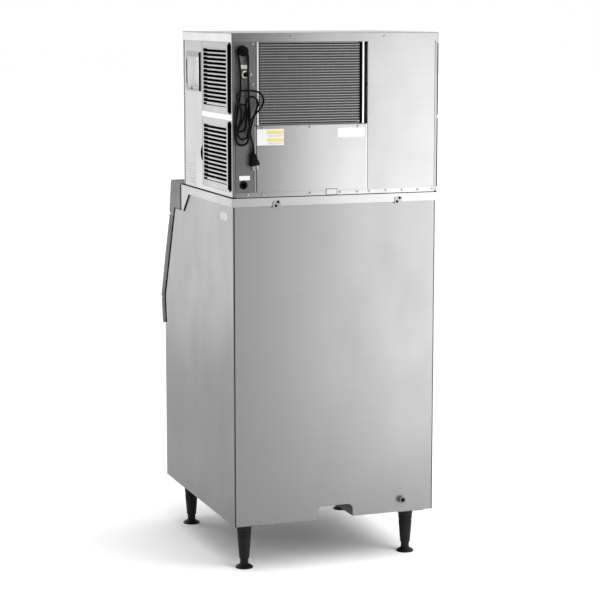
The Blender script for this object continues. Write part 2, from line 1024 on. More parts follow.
tank_bite = 0.0004
tank_wide = ring_left - frame_lip - clearance - core_left
for label, side_x in (
    ("left", core_left - tank_bite),
    ("right", core_right - tank_wide),
):
    tank = [
        (side_x, y_at(core_setback + core_thickness + tank_bite)),
        (side_x + tank_wide + tank_bite, y_at(core_setback + core_thickness + tank_bite)),
        (side_x + tank_wide + tank_bite, y_at(core_setback + core_fin_recess - tank_bite)),
        (side_x, y_at(core_setback + core_fin_recess - tank_bite)),
    ]
    header = plate(
        label + "_header",
        rounded(tank, tank_wide / 3),
        "z",
        core_low + tank_bite,
        core_high - tank_bite,
        aluminium,
    )
    join(condenser_core, header)

fan_x = (core_left + core_right) / 2
fan_z = (core_low + core_high) / 2
shroud_back = ring_depth + clearance
shroud_left = core_left - shroud_left_gap
fan_shroud = tray(
    "fan_shroud",
    (core_right + clearance, y_at(shroud_back + shroud_depth), sill_z + clearance),
    (shroud_left, y_at(shroud_back), cover_low - clearance),
    ["+y"],
    sheet,
    galvanised,
)
shroud_face = y_at(shroud_back + shroud_depth)
cut_outline(
    fan_shroud,
    "fan_hole",
    circle((fan_x, fan_z), fan_radius + fan_tip_gap, 32),
    "y",
    shroud_face - cut_overrun,
    shroud_face + cut_overrun,
)
strap_width = 0.018
strap_thickness = 0.004
strap_rise = motor_radius * 0.55
for step, side_z in enumerate((fan_z - strap_rise, fan_z + strap_rise)):
    strap = box(
        f"motor_strap_{step}",
        (
            fan_x - fan_radius - strap_width,
            shroud_face - strap_thickness,
            side_z - strap_width / 2,
        ),
        (
            fan_x + fan_radius + strap_width,
            shroud_face + sheet / 2,
            side_z + strap_width / 2,
        ),
        galvanised,
    )
    join(fan_shroud, strap)

motor_face = shroud_face - strap_thickness - clearance
fan_motor = turned(
    "fan_motor",
    [
        (0, 0),
        (motor_radius * 0.4, 0),
        (motor_radius, -motor_radius * 0.12),
        (motor_radius, -motor_length * 0.55),
        (motor_radius * 0.86, -motor_length * 0.62),
        (motor_radius * 0.86, -motor_length * 0.92),
        (motor_radius * 0.7, -motor_length),
        (0, -motor_length),
    ],
    (fan_x, motor_face, fan_z),
    (0, 1, 0),
    black_paint,
    20,
)
shaft_engaged = 0.016
bore = turned(
    "motor_bore",
    rod_profile(shaft_radius + clearance, shaft_engaged + clearance + cut_overrun),
    (fan_x, motor_face - shaft_engaged - clearance, fan_z),
    (0, 1, 0),
    None,
    12,
    cutters,
)
cut(fan_motor, bore)

hub_start = 0.013
fan_blades = turned(
    "fan_blades",
    [
        (0, hub_start + fan_hub_length),
        (fan_hub_radius * 0.8, hub_start + fan_hub_length),
        (fan_hub_radius, hub_start + fan_hub_length * 0.8),
        (fan_hub_radius, hub_start),
        (shaft_radius, hub_start),
        (shaft_radius, -shaft_engaged),
        (0, -shaft_engaged),
    ],
    (fan_x, motor_face, fan_z),
    (0, 1, 0),
    aluminium,
    20,
)


def blade_set(name):
    """Curved blades round the fan's axis, as an open surface that is then thickened."""
    bm = bmesh.new()
    radial_shares = (0.0, 0.35, 0.7, 1.0)
    chord_shares = (-0.5, -0.18, 0.16, 0.5)
    root = fan_hub_radius * 0.85
    for index in range(fan_blades_count):
        around = math.tau * index / fan_blades_count
        rows = []
        for reach in radial_shares:
            radius = root + (fan_radius - root) * reach
            half_angle = math.radians(31 + 6 * reach)
            row = []
            for chord in chord_shares:
                angle = around + chord * 2 * half_angle
                lift = fan_pitch_rise * (0.55 + 0.45 * (1 - reach)) * chord
                camber = fan_pitch_rise * 0.2 * (0.25 - chord * chord)
                out = hub_start + fan_hub_length / 2 + lift * 0.8 + camber
                row.append(
                    bm.verts.new((radius * math.cos(angle), radius * math.sin(angle), out))
                )
            rows.append(row)
        for inner, outer in zip(rows, rows[1:]):
            for step in range(len(chord_shares) - 1):
                bm.faces.new((inner[step], inner[step + 1], outer[step + 1], outer[step]))
    made = add(name, mesh_from(name, bm), None, cutters)
    made.location = (fan_x, motor_face, fan_z)
    made.rotation_euler = Vector((0, 1, 0)).to_track_quat("Z", "Y").to_euler()
    thicken(made, fan_blade_thickness, 0.0)
    return made


boolean(fan_blades, blade_set("blade_set"), "UNION")

# Compressor and refrigerant circuit

compressor_y = y_at(compressor_depth)
plate_bottom = pan_floor + clearance + grommet_height + clearance
foot_thickness = 0.003
can_low = plate_bottom + foot_thickness
compressor = turned(
    "compressor",
    [
        (0, compressor_height),
        (compressor_radius * 0.45, compressor_height * 0.985),
        (compressor_radius * 0.8, compressor_height * 0.93),
        (compressor_radius * 0.97, compressor_height * 0.82),
        (compressor_radius, compressor_height * 0.52),
        (compressor_radius * 1.04, compressor_height * 0.50),
        (compressor_radius * 1.04, compressor_height * 0.46),
        (compressor_radius, compressor_height * 0.44),
        (compressor_radius * 0.97, compressor_height * 0.12),
        (compressor_radius * 0.8, 0),
        (0, 0),
    ],
    (compressor_x, compressor_y, can_low - foot_thickness / 2),
    (0, 0, 1),
    black_paint,
    24,
)
foot_half = compressor_foot_size / 2
foot_plate = [
    (compressor_x - foot_half, compressor_y - foot_half * 0.8),
    (compressor_x + foot_half, compressor_y - foot_half * 0.8),
    (compressor_x + foot_half, compressor_y + foot_half * 0.8),
    (compressor_x - foot_half, compressor_y + foot_half * 0.8),
]
join(
    compressor,
    plate(
        "compressor_plate",
        rounded(foot_plate, grommet_radius),
        "z",
        plate_bottom,
        can_low,
        black_paint,
    ),
)
terminal_low = can_low + compressor_height * 0.55
join(
    compressor,
    box(
        "terminal_cover",
        (
            compressor_x - compressor_radius - terminal_reach,
            compressor_y - terminal_half_width,
            terminal_low,
        ),
        (
            compressor_x - compressor_radius * 0.8,
            compressor_y + terminal_half_width,
            terminal_low + terminal_height,
        ),
        black_paint,
    ),
)
for sign_x in (-1, 1):
    for sign_y in (-1, 1):
        foot = turned(
            f"rubber_foot_{sign_x}_{sign_y}",
            rod_profile(grommet_radius, grommet_height + foot_thickness),
            (
                compressor_x + sign_x * (foot_half - grommet_radius * 1.4),
                compressor_y + sign_y * (foot_half * 0.8 - grommet_radius * 1.4),
                pan_floor + clearance,
            ),
            (0, 0, 1),
            black_paint,
            12,
        )
        join(compressor, foot)

drier_place = (drier_x, y_at(drier_depth), pan_floor + clearance)
receiver_drier = turned(
    "receiver_drier",
    [
        (0, drier_length),
        (drier_radius * 0.45, drier_length),
        (drier_radius * 0.45, drier_length * 0.93),
        (drier_radius, drier_length * 0.86),
        (drier_radius, drier_length * 0.14),
        (drier_radius * 0.5, drier_length * 0.06),
        (drier_radius * 0.5, 0),
        (0, 0),
    ],
    drier_place,
    (0, 0, 1),
    copper,
    20,
)

can_top = can_low - foot_thickness / 2 + compressor_height
line_x = (shroud_left + ring_left - frame_lip) / 2 + pipe_radius * 0.15
discharge_end = y_at(core_setback + core_thickness + tank_bite) - clearance
discharge = [(compressor_x, compressor_y, can_top + clearance)]
for across, ahead, up in discharge_start_shares:
    discharge.append(
        (
            compressor_x + discharge_rise * across,
            compressor_y + discharge_rise * ahead,
            can_top + discharge_rise * up,
        )
    )
for ahead, up in discharge_run_shares:
    discharge.append((line_x, compressor_y + discharge_rise * ahead, can_top + discharge_rise * up))
discharge.append((line_x, discharge_end, discharge[-1][2]))
drier_top = drier_place[2] + drier_length
liquid = [
    (drier_place[0], drier_place[1], drier_top + 2 * clearance),
    (drier_place[0], drier_place[1], drier_top + liquid_stub),
    (drier_place[0] - liquid_lean[0], drier_place[1] - liquid_lean[1], drier_top + liquid_lean[2]),
    (drier_place[0] - liquid_run[0], drier_place[1] - liquid_run[1], drier_top + liquid_run[2]),
    (bulkhead_x + sheet + clearance, drier_place[1] - liquid_run[1], drier_top + liquid_run[2]),
]
pipe_step = 0.022
tube("discharge_line", smooth_route(discharge, pipe_step), pipe_radius, copper)
tube("liquid_line", smooth_route(liquid, pipe_step), pipe_radius, copper)

# Ice making: evaporator plate, water system and curtain

plate_right = bulkhead_x - plate_side_gap
plate_left = plate_right - plate_width
plate_low = rim_top + plate_rise
plate_high = plate_low + plate_height
plate_front = y_at(plate_depth)
evaporator_plate = box(
    "evaporator_plate",
    (plate_left, plate_front, plate_low),
    (plate_right, plate_front + cell_depth + plate_back, plate_high),
    aluminium,
)
arm_reach = curtain_gap + arm_overreach
arm_thickness = 0.004
axle_y = plate_front - curtain_gap
axle_z = plate_high - arm_height / 2
for side_x in (plate_left, plate_right - arm_thickness):
    join(
        evaporator_plate,
        box(
            f"curtain_arm_{side_x:.3f}",
            (side_x, plate_front - arm_reach, plate_high - arm_height),
            (side_x + arm_thickness, plate_front + cell_depth / 2, plate_high),
            aluminium,
        ),
    )
for level in (plate_low + ear_low_rise, plate_high - ear_high_drop):
    join(
        evaporator_plate,
        box(
            f"plate_ear_{level:.3f}",
            (plate_right - arm_thickness, plate_front + cell_depth / 2, level),
            (
                bulkhead_x - clearance,
                plate_front + cell_depth + plate_back,
                level + arm_height,
            ),
            aluminium,
        ),
    )
cell_wide = (plate_width - 2 * arm_thickness - cell_rib) / cells_across
cell_high = (plate_height - arm_height - cell_rib) / cells_down
bm = bmesh.new()
for column in range(cells_across):
    for row in range(cells_down):
        made = bmesh.ops.create_cube(bm, size=1)
        low_x = plate_left + arm_thickness + cell_rib + column * cell_wide
        low_z = plate_low + cell_rib + row * cell_high
        size = (cell_wide - cell_rib, cell_depth + cut_overrun, cell_high - cell_rib)
        bmesh.ops.scale(bm, vec=size, verts=made["verts"])
        middle = (
            low_x + size[0] / 2,
            plate_front + (cell_depth - cut_overrun) / 2,
            low_z + size[2] / 2,
        )
        bmesh.ops.translate(bm, vec=middle, verts=made["verts"])
cut(evaporator_plate, add("ice_cells", mesh_from("ice_cells", bm), None, cutters))
axle_hole = turned(
    "axle_hole",
    rod_profile(curtain_pin_radius + clearance, plate_width + 2 * cut_overrun),
    (plate_left - cut_overrun, axle_y, axle_z),
    (1, 0, 0),
    None,
    16,
    cutters,
)
cut(evaporator_plate, axle_hole)

curtain_low = plate_low - curtain_overhang
curtain_half_gap = arm_thickness + 2 * clearance
water_curtain = box(
    "water_curtain",
    (plate_left + curtain_half_gap, axle_y - curtain_thickness / 2, curtain_low),
    (plate_right - curtain_half_gap, axle_y + curtain_thickness / 2, axle_z),
    white_plastic,
)
join(
    water_curtain,
    turned(
        "curtain_axle",
        rod_profile(curtain_pin_radius, plate_width),
        (plate_left, axle_y, axle_z),
        (1, 0, 0),
        white_plastic,
        16,
    ),
)
apply_modifiers(water_curtain)
set_origin(water_curtain, ((plate_left + plate_right) / 2, axle_y, axle_z))

water_distributor = turned(
    "water_distributor",
    rod_profile(distributor_radius, plate_width),
    (plate_left, plate_front + cell_depth / 2, plate_high + distributor_radius + clearance),
    (1, 0, 0),
    white_plastic,
    16,
)

trough_right = bulkhead_x - clearance
trough_front = plate_front - trough_front_lap
trough_low = curtain_low - trough_height - trough_drop
water_trough = tray(
    "water_trough",
    (trough_right - trough_width, trough_front, trough_low),
    (trough_right, trough_front + trough_depth, trough_low + trough_height),
    ["+z"],
    trough_wall,
    white_plastic,
)
water_pump = turned(
    "water_pump",
    [
        (0, pump_height),
        (pump_radius, pump_height - pump_cap),
        (pump_radius, pump_motor_low),
        (pump_radius * 0.4, pump_neck_high),
        (pump_radius * 0.4, pump_neck_low),
        (pump_radius, pump_base),
        (pump_radius, 0),
        (0, 0),
    ],
    (
        trough_right - trough_width + pump_side_inset,
        trough_front + trough_depth - pump_rear_inset,
        trough_low + trough_wall + clearance,
    ),
    (0, 0, 1),
    black_plastic,
    16,
)

control_low = (bulkhead_x + sheet + clearance, y_at(control_depth), rim_top + control_rise)
control_box = box(
    "control_box",
    control_low,
    tuple(low + size for low, size in zip(control_low, control_size)),
    galvanised,
)
soften(control_box, bend_radius, 1)

# Wash and ice switch in the front panel

switch_z = head_top - switch_drop
rocker_tilt = math.radians(9)
window = (switch_half_width + rocker_bezel / 2, rocker_radius + rocker_bezel / 2)
cut_box(
    head_front_panel,
    "switch_window",
    (switch_x - window[0] - clearance, front_y - cut_overrun, switch_z - window[1] - clearance),
    (switch_x + window[0] + clearance, front_y + cut_overrun, switch_z + window[1] + clearance),
)
bezel_face = front_y - clearance - sheet
bezel_back = front_y + switch_body_depth
switch_bezel = box(
    "switch_bezel",
    (switch_x - window[0], bezel_face + sheet / 2, switch_z - window[1]),
    (switch_x + window[0], bezel_back, switch_z + window[1]),
    black_plastic,
)
bezel_rim = box(
    "bezel_rim",
    (switch_x - window[0] - rocker_bezel, bezel_face, switch_z - window[1] - rocker_bezel),
    (
        switch_x + window[0] + rocker_bezel,
        bezel_face + sheet,
        switch_z + window[1] + rocker_bezel,
    ),
    black_plastic,
)
join(switch_bezel, bezel_rim)
rocker_gap = 2 * clearance
cut_box(
    switch_bezel,
    "rocker_well",
    (
        switch_x - switch_half_width - rocker_gap,
        bezel_face - cut_overrun,
        switch_z - rocker_radius - rocker_gap,
    ),
    (
        switch_x + switch_half_width + rocker_gap,
        bezel_back - sheet,
        switch_z + rocker_radius + rocker_gap,
    ),
)
rocker_y = front_y + rocker_setback
pin_reach = 0.0016
rocker_pin = 0.0016
for hand in (-1, 1):
    inner = switch_x + hand * switch_half_width
    hole = turned(
        f"rocker_pin_hole_{hand}",
        rod_profile(rocker_pin + clearance, pin_reach + 2 * clearance),
        (min(inner, inner + hand * (pin_reach + 2 * clearance)), rocker_y, switch_z),
        (1, 0, 0),
        None,
        12,
        cutters,
    )
    cut(switch_bezel, hole)
polar = [
    (76, 1.0),
    (90, 1.0),
    (104, 1.0),
    (150, 0.42),
    (210, 0.42),
    (256, 1.0),
    (270, 1.0),
    (284, 1.0),
]
rocker_points = []
for angle, share in polar:
    turned_angle = math.radians(angle) + rocker_tilt
    rocker_points.append(
        (
            rocker_y - rocker_radius * share * math.cos(turned_angle),
            switch_z + rocker_radius * share * math.sin(turned_angle),
        )
    )
power_rocker = plate(
    "power_rocker",
    rocker_points,
    "x",
    switch_x - switch_half_width,
    switch_x + switch_half_width,
    black_plastic,
)
join(
    power_rocker,
    turned(
        "rocker_pin",
        rod_profile(rocker_pin, 2 * (switch_half_width + pin_reach)),
        (switch_x - switch_half_width - pin_reach, rocker_y, switch_z),
        (1, 0, 0),
        black_plastic,
        12,
    ),
)
apply_modifiers(power_rocker)
set_origin(power_rocker, (switch_x, rocker_y, switch_z))

# Fittings on the rear of the head

inlet_proud = 0.008
inlet_collar = 0.0025
water_inlet_fitting = closed_ring(
    "water_inlet_fitting",
    [
        (inlet_bore, inlet_proud),
        (inlet_radius - inlet_collar, inlet_proud),
        (inlet_radius, inlet_proud * 0.8),
        (inlet_radius, clearance),
        (inlet_radius - sheet, clearance),
        (inlet_radius - sheet, -inlet_length),
        (inlet_bore, -inlet_length),
    ],
    inlet_place,
    (0, 1, 0),
    brass,
    24,
)
drain_grommet = closed_ring(
    "drain_grommet",
    [
        (drain_radius_up * 0.62, drain_lip),
        (drain_radius_up * 0.9, drain_lip),
        (drain_radius_across * 0.95, drain_lip * 0.6),
        (drain_radius_across * 0.95, clearance),
        (drain_radius_up, clearance),
        (drain_radius_up, -drain_length),
        (drain_radius_up * 0.62, -drain_length),
    ],
    drain_place,
    (0, 1, 0),
    black_rubber,
    20,
)
relief_length = 0.012
cord_gland = turned(
    "cord_gland",
    [
        (0, gland_neck + gland_cap + relief_length),
        (cord_diameter * 0.72, gland_neck + gland_cap + relief_length),
        (gland_neck_radius * 0.8, gland_neck + gland_cap),
        (gland_cap_radius * 0.9, gland_neck + gland_cap),
        (gland_cap_radius, gland_neck + gland_cap * 0.7),
        (gland_cap_radius, gland_neck + gland_cap * 0.2),
        (gland_cap_radius * 0.94, gland_neck),
        (gland_neck_radius, gland_neck),
        (gland_neck_radius, -gland_length),
        (0, -gland_length),
    ],
    gland_place,
    (0, 1, 0),
    black_plastic,
    24,
)

# Storage bin: skins, base, insulation, liner and top rim

corner = 0.0055
front_return = 0.006
tight_bend = 0.0015
rim_sheet = 0.0015
skin_high = rim_top - rim_sheet - clearance
skin_rear = rear_y - bin_inset
body_front = y_at(body_front_depth)
bezel_gap = 0.005
hood_z = rim_top - hood_drop
body_inner = bin_half - sheet - clearance


def at_depths(points):
    """World (y, z) places of (depth, z) ones."""
    return [(y_at(depth), z) for depth, z in points]


edge_line = at_depths(
    [
        (hood_rear, skin_high),
        (hood_rear, hood_z),
        (rail_top, hood_z),
        (knee_depth, knee_height),
        (sill_depth, sill_height),
    ]
)
panel_edge = offset_line(edge_line, 4 * clearance)
shelf_z = sill_height - bezel_gap
fold_rear = skin_rear - sheet - clearance
fold_lap = 2 * panel_return
side_points = (
    [(fold_rear - panel_return, skin_high)]
    + panel_edge
    + [
        (panel_edge[-1][0], shelf_z),
        (body_front, shelf_z),
        (body_front, leg_clearance),
        (fold_rear - panel_return, leg_clearance),
    ]
)


def bin_side(name, hand):
    """A bin side sheet with a fold behind the rear sheet's edge."""
    ends = sorted((hand * bin_half, hand * (bin_half - sheet)))
    wall = plate(name, side_points, "x", *ends, stainless)
    fold = bent(
        [
            (bin_half, fold_rear - fold_lap),
            (bin_half, fold_rear),
            (bin_half - corner - panel_return, fold_rear),
        ],
        tight_bend,
    )
    outline = [(hand * x, y) for x, y in strip(fold, sheet)]
    join(wall, plate(name + "_fold", outline, "z", leg_clearance, skin_high, stainless))
    return wall


bin_side("bin_side_panel_right", 1)
bin_side("bin_side_panel_left", -1)

rear_half = bin_half - corner
notch_half = notch_width / 2


def notch_outline(margin):
    """The drain tunnel's mouth: straight sides, rounded upper corners, open at the bottom."""
    points = [
        (notch_half - margin, leg_clearance - cut_overrun),
        (notch_half - margin, leg_clearance + notch_height - margin),
        (-notch_half + margin, leg_clearance + notch_height - margin),
        (-notch_half + margin, leg_clearance - cut_overrun),
    ]
    return rounded(points, notch_radius, 4, (1, 2))


bin_rear_panel = box(
    "bin_rear_panel",
    (-rear_half, skin_rear - sheet, leg_clearance),
    (rear_half, skin_rear, skin_high),
    stainless,
)
cut_outline(
    bin_rear_panel,
    "rear_notch",
    notch_outline(0),
    "y",
    skin_rear - sheet - cut_overrun,
    skin_rear + cut_overrun,
)
bin_drain_place = (-half + bin_drain_inset, skin_rear, leg_clearance + bin_drain_rise)
cut_outline(
    bin_rear_panel,
    "bin_drain_hole",
    circle((bin_drain_place[0], bin_drain_place[2]), bin_drain_bore + sheet + clearance),
    "y",
    skin_rear - sheet - cut_overrun,
    skin_rear + cut_overrun,
)

front_half = bin_half - sheet - 2 * clearance
front_skin = [
    (-front_half, body_front + front_return),
    (-front_half, body_front),
    (front_half, body_front),
    (front_half, body_front + front_return),
]
bin_front_panel = plate(
    "bin_front_panel",
    strip(bent(front_skin, bend_radius), sheet),
    "z",
    leg_clearance,
    shelf_z,
    stainless,
)

base_top = leg_clearance + base_height
inner_rear = fold_rear - sheet - clearance
inner_front = body_front + front_return + clearance
bin_base = box(
    "bin_base",
    (-body_inner, inner_front, leg_clearance),
    (body_inner, inner_rear, base_top),
    galvanised,
)
cut_outline(
    bin_base,
    "drain_tunnel",
    notch_outline(0),
    "y",
    skin_rear - tunnel_depth,
    skin_rear + cut_overrun,
)
drain_pipe_length = 0.05

foam_edge = offset_line(edge_line, 2 * clearance)
foam_points = (
    [(inner_rear, skin_high)]
    + foam_edge
    + [
        (foam_edge[-1][0], shelf_z - clearance),
        (inner_front, shelf_z - clearance),
        (inner_front, base_top + clearance),
        (inner_rear, base_top + clearance),
    ]
)
bin_insulation = plate("bin_insulation", foam_points, "x", -body_inner, body_inner, foam)
for target in (bin_base, bin_insulation):
    cut_outline(
        target,
        target.name + "_pipe_hole",
        circle((bin_drain_place[0], bin_drain_place[2]), bin_drain_bore + sheet + clearance),
        "y",
        skin_rear - drain_pipe_length - clearance,
        skin_rear + cut_overrun,
    )

cavity_floor = base_top + foam_floor
cavity_slope = offset_line(edge_line[2:4], foam_wall)
cavity_rear = inner_rear - foam_wall
cavity_throat = y_at(hood_rear) + foam_wall
cavity_points = [
    (cavity_rear, skin_high),
    (cavity_rear, cavity_floor),
    (cavity_slope[1][0], cavity_floor),
    cavity_slope[1],
    cavity_slope[0],
    (cavity_throat, cavity_slope[0][1]),
    (cavity_throat, skin_high),
]
cavity_half = body_inner - foam_wall


def lifted_top(points):
    """The cavity outline with its open top raised past the insulation, for cutting."""
    return [(y, z + cut_overrun if z == skin_high else z) for y, z in points]


cut_outline(
    bin_insulation, "cavity", lifted_top(cavity_points), "x", -cavity_half, cavity_half
)

# The door's plane: s runs down the frame's face from the hinge, h stands out of it

face_top = Vector((y_at(frame_top_depth), frame_top_height))
face_low = Vector((y_at(frame_low_depth), frame_low_height))
down = (face_low - face_top).normalized()
out = Vector((down.y, -down.x))
axis_foot = face_top + down * ((frame_top_height - door_axis_height) / -down.y)
barrel_rise = clearance + door_barrel_radius
door_axis = axis_foot + out * barrel_rise
door_length = (face_low - axis_foot).length


def on_face(s, h):
    """World (y, z) of a place s below the hinge and h out of the frame's face."""
    return tuple(axis_foot + down * s + out * h)


mouth_top = mouth_margin_top
mouth_low = door_length - mouth_margin_low
mouth_reach = 0.118
def cut_mouth(target, name, grow=0.0):
    points = [
        on_face(mouth_top - grow, cut_overrun),
        on_face(mouth_top - grow, -mouth_reach),
        on_face(mouth_low + grow, -mouth_reach),
        on_face(mouth_low + grow, cut_overrun),
    ]
    width_half = mouth_half_width + grow
    cut_outline(target, name, points, "x", -width_half, width_half)


cut_mouth(bin_insulation, "insulation_mouth")

liner_points = [
    (cavity_rear - clearance, skin_high),
    (cavity_rear - clearance, cavity_floor + clearance),
    (cavity_slope[1][0] + clearance, cavity_floor + clearance),
    (cavity_slope[1][0] + clearance, cavity_slope[1][1] - clearance),
    (cavity_slope[0][0] + clearance, cavity_slope[0][1] - 2 * clearance),
    (cavity_throat + clearance, cavity_slope[0][1] - 2 * clearance),
    (cavity_throat + clearance, skin_high),
]
liner_mesh = outline_mesh(
    "bin_liner", liner_points, "x", -cavity_half + clearance, cavity_half - clearance
)
bm = bmesh.new()
bm.from_mesh(liner_mesh)
bmesh.ops.delete(
    bm,
    geom=[face for face in bm.faces if all(v.co.z > skin_high - clearance for v in face.verts)],
    context="FACES_ONLY",
)
bm.to_mesh(liner_mesh)
bm.free()
bin_liner = add("bin_liner", liner_mesh, white_plastic)
thicken(bin_liner, liner_wall)
cut_mouth(bin_liner, "liner_mouth")

rim_half = half + rim_overhang
rim_front = y_at(hood_rear) + rim_front_gap
bin_top_rim = tray(
    "bin_top_rim",
    (-rim_half, rim_front, rim_low),
    (rim_half, rear_y, rim_top),
    ["-z", "-y"],
    rim_sheet,
    stainless,
)
cut_box(
    bin_top_rim,
    "rim_opening",
    (-half + rim_ledge, rim_front + rim_ledge, rim_top - rim_height / 2),
    (half - rim_ledge, rear_y - rim_ledge, rim_top + cut_overrun),
)
cheek_points = [
    (y_at(rim_cheek_rear), rim_low + rim_height / 4),
    (y_at(rim_cheek_rear), rim_low),
    (y_at(rim_cheek_rear + rim_cheek_run), rim_low - rim_cheek_drop),
    (rim_front, rim_low - rim_cheek_drop),
    (rim_front, rim_low + rim_height / 4),
]
for hand in (-1, 1):
    ends = sorted((hand * rim_half, hand * (rim_half - rim_sheet)))
    join(bin_top_rim, plate(f"rim_cheek_{hand}", cheek_points, "x", *ends, stainless))

# Frame round the door opening, its gasket and the door

hood_top = rim_top + hood_rise
gasket_web = 0.002
seal_back = offset_line(edge_line, -clearance)
seal_front = offset_line(edge_line, -clearance - gasket_width)
frame_back = offset_line(edge_line, -2 * clearance - gasket_width)
web_top = hood_z + clearance + gasket_web
lip_low = hood_top - hood_lip


def on_slope(line, z):
    """Where the sloping stretch of a line meets a height, or would if it ran on."""
    low, high = Vector(line[3]), Vector(line[2])
    return (low.x + (high.x - low.x) * (z - low.y) / (high.y - low.y), z)


frame_points = (
    at_depths(
        [
            (hood_lip_rear, hood_top),
            (hood_front_top - hood_edge, hood_top),
            (hood_front_low, frame_top_height + hood_face_rise),
        ]
    )
    + [tuple(face_top), tuple(face_low)]
    + at_depths(
        [(bezel_top_depth, frame_low_height - bezel_step), (bezel_low_depth, bezel_low_height)]
    )
    + [
        frame_back[4],
        frame_back[3],
        on_slope(frame_back, web_top + clearance),
        (frame_back[0][0], web_top + clearance),
        (frame_back[0][0], lip_low),
        (y_at(hood_lip_rear), lip_low),
    ]
)
door_frame = plate(
    "door_frame",
    rounded(frame_points, hood_radius, 6, (1,)),
    "x",
    -frame_half_width,
    frame_half_width,
    grey_plastic,
)
cut_mouth(door_frame, "frame_mouth")
ear_thickness = 0.0055
ear_outline = [
    tuple(
        door_axis
        + out * (door_ear * math.cos(angle))
        + down * (door_ear * math.sin(angle))
    )
    for angle in [math.radians(-90 + 22.5 * step) for step in range(9)]
]
ear_outline += [on_face(door_ear, -door_ear / 2), on_face(-door_ear, -door_ear / 2)]
for hand in (-1, 1):
    ends = sorted((hand * frame_half_width, hand * (frame_half_width - ear_thickness)))
    join(door_frame, plate(f"hinge_ear_{hand}", ear_outline, "x", *ends, grey_plastic))
    hole = turned(
        f"hinge_pin_hole_{hand}",
        rod_profile(hinge_pin_radius + clearance, ear_thickness + 2 * cut_overrun),
        (ends[0] - cut_overrun, *door_axis),
        (1, 0, 0),
        None,
        16,
        cutters,
    )
    cut(door_frame, hole)

seal_top = lip_low - clearance
seal_points = [
    (seal_back[0][0], seal_top),
    *seal_back[1:],
    seal_front[4],
    seal_front[3],
    on_slope(seal_front, web_top),
    (seal_front[0][0], web_top),
    (seal_front[0][0], seal_top),
]
gasket_half = frame_half_width - gasket_inset
frame_gasket = plate("frame_gasket", seal_points, "x", -gasket_half, gasket_half, black_rubber)
cut_mouth(frame_gasket, "seal_mouth")

door_half = frame_half_width - door_side_gap
grip_depth = overall_depth - fitting_reach
grip_face = 0.005
front_top = door_axis + out * door_barrel_radius
grip_high = 0.876
belly = 0.0028
middle_front = (front_top + Vector((y_at(grip_depth), grip_high))) / 2 + out * belly
barrel_arc = [
    tuple(
        door_axis
        - out * (door_barrel_radius * math.cos(angle))
        - down * (door_barrel_radius * math.sin(angle))
    )
    for angle in [math.radians(22.5 * step) for step in range(9)]
]
door_points = (
    barrel_arc
    + [tuple(middle_front)]
    + [(y_at(grip_depth), grip_high), (y_at(grip_depth), grip_high - grip_face)]
    + [on_face(door_length - door_ear / 4, clearance)]
)
bin_door = plate("bin_door", door_points, "x", -door_half, door_half, grey_plastic)
plug_points = [
    on_face(mouth_top + plug_gap, door_barrel_radius),
    on_face(mouth_top + plug_gap, -plug_depth),
    on_face(mouth_low - plug_gap, -plug_depth),
    on_face(mouth_low - plug_gap, door_barrel_radius),
]
plug_half = mouth_half_width - plug_gap
plug = plate("door_plug", plug_points, "x", -plug_half, plug_half, grey_plastic)
join(bin_door, plug)
ear_room = door_ear + ear_gap
for hand in (-1, 1):
    notch_points = [
        on_face(-ear_room, -ear_room),
        on_face(ear_room, -ear_room),
        on_face(ear_room, 3 * door_barrel_radius),
        on_face(-ear_room, 3 * door_barrel_radius),
    ]
    inner = door_half - ear_thickness - 2 * clearance
    ends = sorted((hand * inner, hand * (door_half + cut_overrun)))
    cut_outline(bin_door, f"ear_notch_{hand}", notch_points, "x", *ends)
    stub_inner = inner - hinge_pin_length / 2
    stub_length = frame_half_width - stub_inner
    stub = turned(
        f"hinge_stub_{hand}",
        rod_profile(hinge_pin_radius, stub_length),
        (stub_inner if hand > 0 else -frame_half_width, *door_axis),
        (1, 0, 0),
        grey_plastic,
        16,
    )
    join(bin_door, stub)
apply_modifiers(bin_door)
set_origin(bin_door, (0, *door_axis))

drain_reach = bin_inset + fitting_reach
bin_drain_fitting = closed_ring(
    "bin_drain_fitting",
    [
        (bin_drain_bore, drain_reach),
        (bin_drain_radius * 0.85, drain_reach),
        (bin_drain_radius, drain_reach * 0.85),
        (bin_drain_radius, clearance),
        (bin_drain_bore + sheet, clearance),
        (bin_drain_bore + sheet, -drain_pipe_length),
        (bin_drain_bore, -drain_pipe_length),
    ],
    bin_drain_place,
    (0, 1, 0),
    black_plastic,
    20,
)

# Feet

pad_low = leg_clearance - pad_height
leg_high = pad_low - clearance
leg_x = half - leg_inset
leg_places = [
    (hand * leg_x, y_at(depth)) for depth in (leg_rear_depth, leg_front_depth) for hand in (1, -1)
]
groove_shares = (0.84, 0.76, 0.72)
bore_radius = foot_neck_radius + foot_bore_gap


def taper(z):
    """The leg's outer radius at a height."""
    share = (z - leg_low_height) / (leg_high - leg_low_height)
    return leg_low_radius + (leg_top_radius - leg_low_radius) * share


